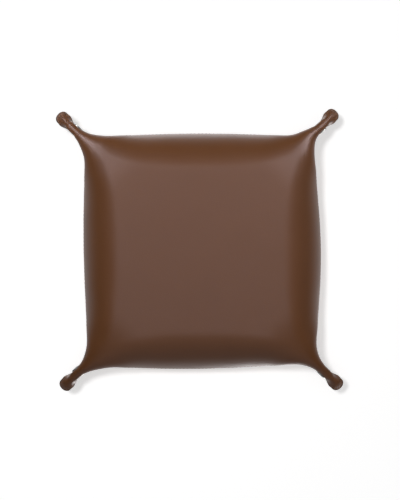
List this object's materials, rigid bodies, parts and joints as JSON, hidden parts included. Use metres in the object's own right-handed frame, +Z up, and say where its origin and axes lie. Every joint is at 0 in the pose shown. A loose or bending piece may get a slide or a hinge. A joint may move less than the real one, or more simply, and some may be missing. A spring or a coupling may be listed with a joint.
{
  "type": "leather tray",
  "caption": "Square catch-all tray of lined leather, its corners pinched into upright ears by press studs, with a flat base and soft curved walls.",
  "frame": {"origin": "centre of the underside of the flat base, on the surface that the tray stands on", "axes": "+Z up, out of the open top; +X to the right and +Y to the back, each square to a wall"},
  "size_m": [0.2431, 0.2387, 0.0398],
  "materials": {
    "outer_leather": "smooth full-grain calf, semi-matt, dark painted cut edge",
    "lining": "smooth lining leather, matt",
    "thread": "waxed sewing thread in the leather's tone",
    "cap_metal": "polished nickel plate",
    "snap_metal": "nickel-plated pressed brass, satin",
    "spring_metal": "drawn spring wire"
  },
  "bodies": {
    "root": {"outer_leather": "outer_leather", "lining": "lining", "edge_stitching": "thread", "front_left_snap_cap": "cap_metal", "front_left_snap_socket": "snap_metal", "front_left_snap_spring": "spring_metal", "front_left_snap_stud": "snap_metal", "front_left_snap_post": "snap_metal", "front_right_snap_cap": "cap_metal", "front_right_snap_socket": "snap_metal", "front_right_snap_spring": "spring_metal", "front_right_snap_stud": "snap_metal", "front_right_snap_post": "snap_metal", "back_right_snap_cap": "cap_metal", "back_right_snap_socket": "snap_metal", "back_right_snap_spring": "spring_metal", "back_right_snap_stud": "snap_metal", "back_right_snap_post": "snap_metal", "back_left_snap_cap": "cap_metal", "back_left_snap_socket": "snap_metal", "back_left_snap_spring": "spring_metal", "back_left_snap_stud": "snap_metal", "back_left_snap_post": "snap_metal"}
  },
  "joints": []
}
